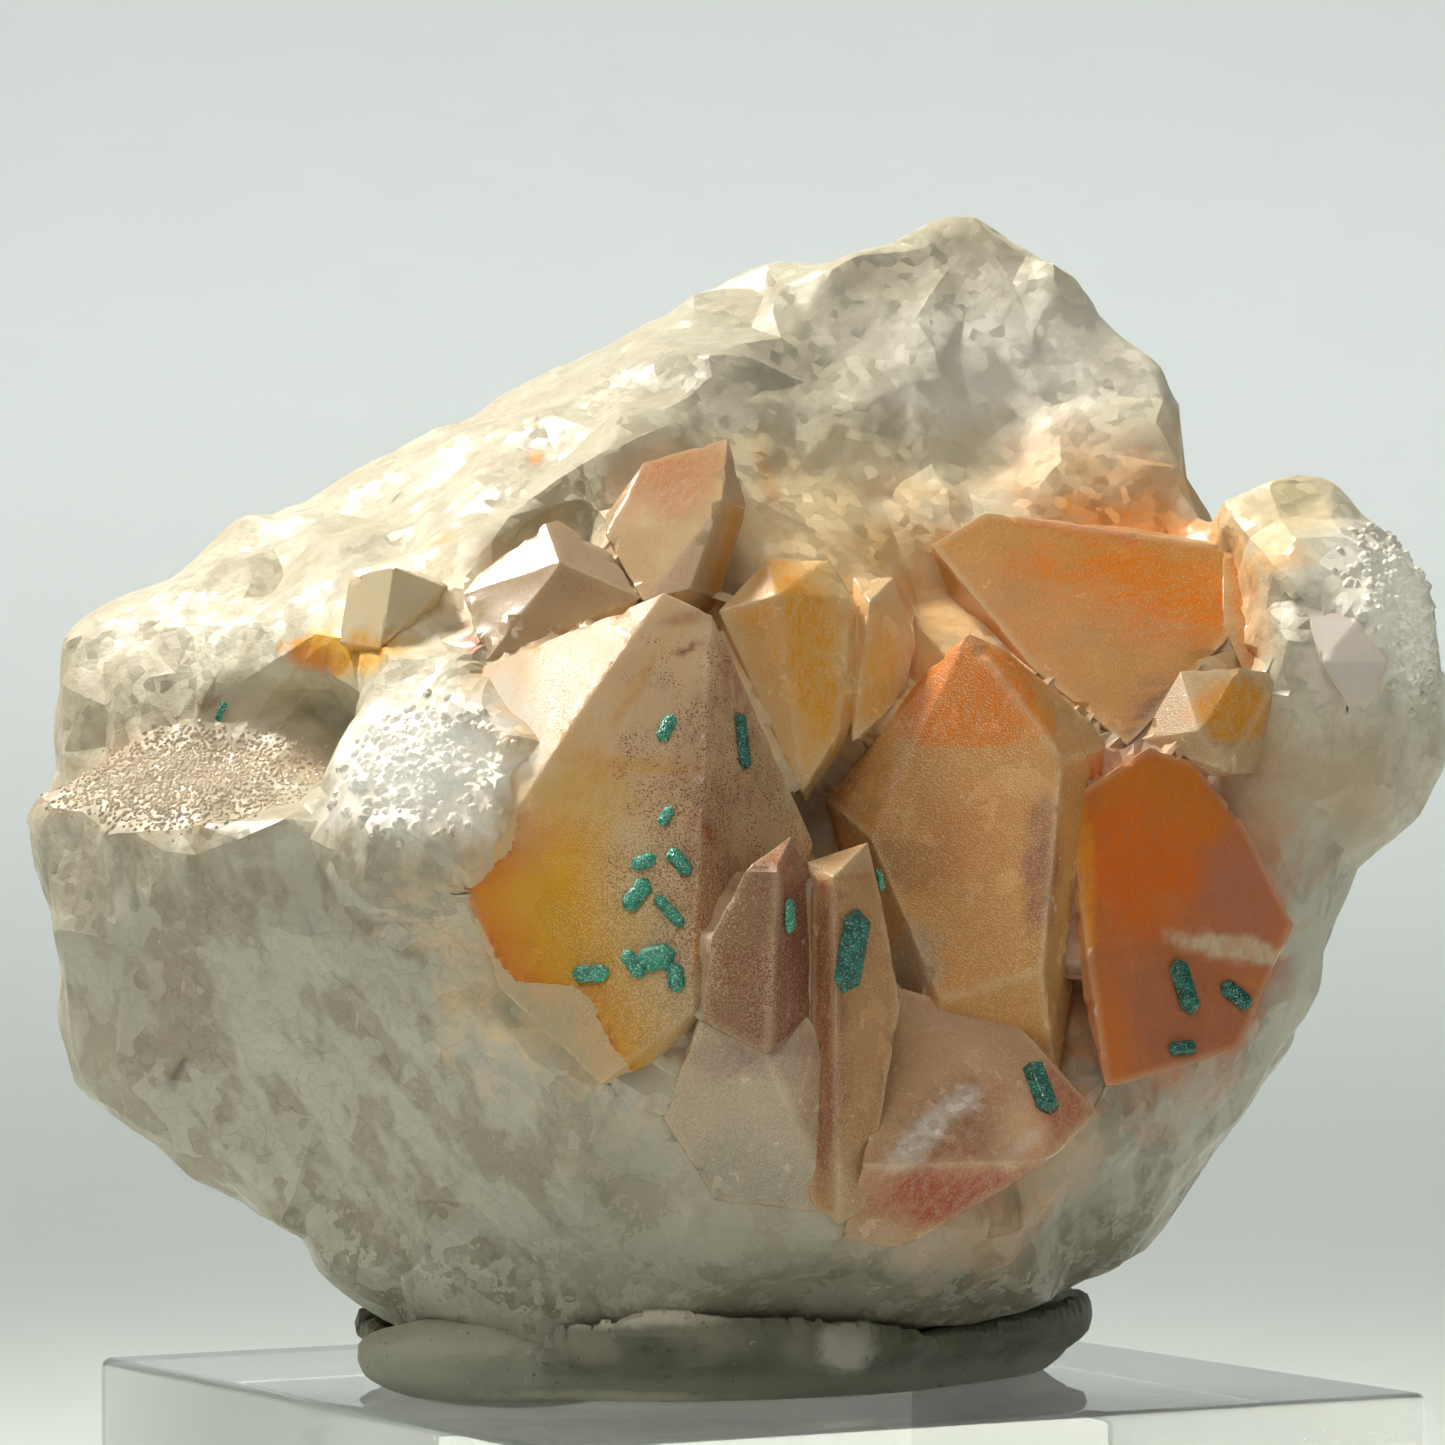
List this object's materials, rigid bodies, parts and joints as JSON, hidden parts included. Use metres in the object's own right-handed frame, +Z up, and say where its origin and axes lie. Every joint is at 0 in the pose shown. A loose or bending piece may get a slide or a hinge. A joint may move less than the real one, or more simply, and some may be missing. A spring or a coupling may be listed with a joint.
{
  "type": "dioptase specimen",
  "caption": "Green dioptase crystals on a growth of iron-stained quartz points, stuck with putty to a square clear block that stands on a shelf.",
  "frame": {"origin": "centre of the clear block's underside", "axes": "+Z up, the show face with the green crystals looks towards -Y, +X to the right of it"},
  "size_m": [0.0463, 0.043, 0.0511],
  "materials": {
    "quartz": "broken and glassy, milky, stained orange and pink",
    "dioptase": "glassy emerald green with a sparkling skin",
    "putty": "dull grey-cream putty",
    "acrylic": "clear polished acrylic"
  },
  "bodies": {
    "root": {"quartz": "quartz", "putty_pad": "putty", "clear_block": "acrylic", "dioptase_hero_top": "dioptase", "dioptase_hero_side": "dioptase", "dioptase_hero_upper": "dioptase", "dioptase_hero_mid_left": "dioptase", "dioptase_hero_mid_right": "dioptase", "dioptase_hero_low_left": "dioptase", "dioptase_hero_low_right": "dioptase", "dioptase_stain": "dioptase", "dioptase_cluster": "dioptase", "dioptase_dark_point": "dioptase", "dioptase_tall_point": "dioptase", "dioptase_tall_edge": "dioptase", "dioptase_pink_point": "dioptase", "dioptase_orange_upright": "dioptase", "dioptase_orange_slanted": "dioptase", "dioptase_orange_low": "dioptase", "dioptase_left_pit": "dioptase"}
  },
  "joints": []
}
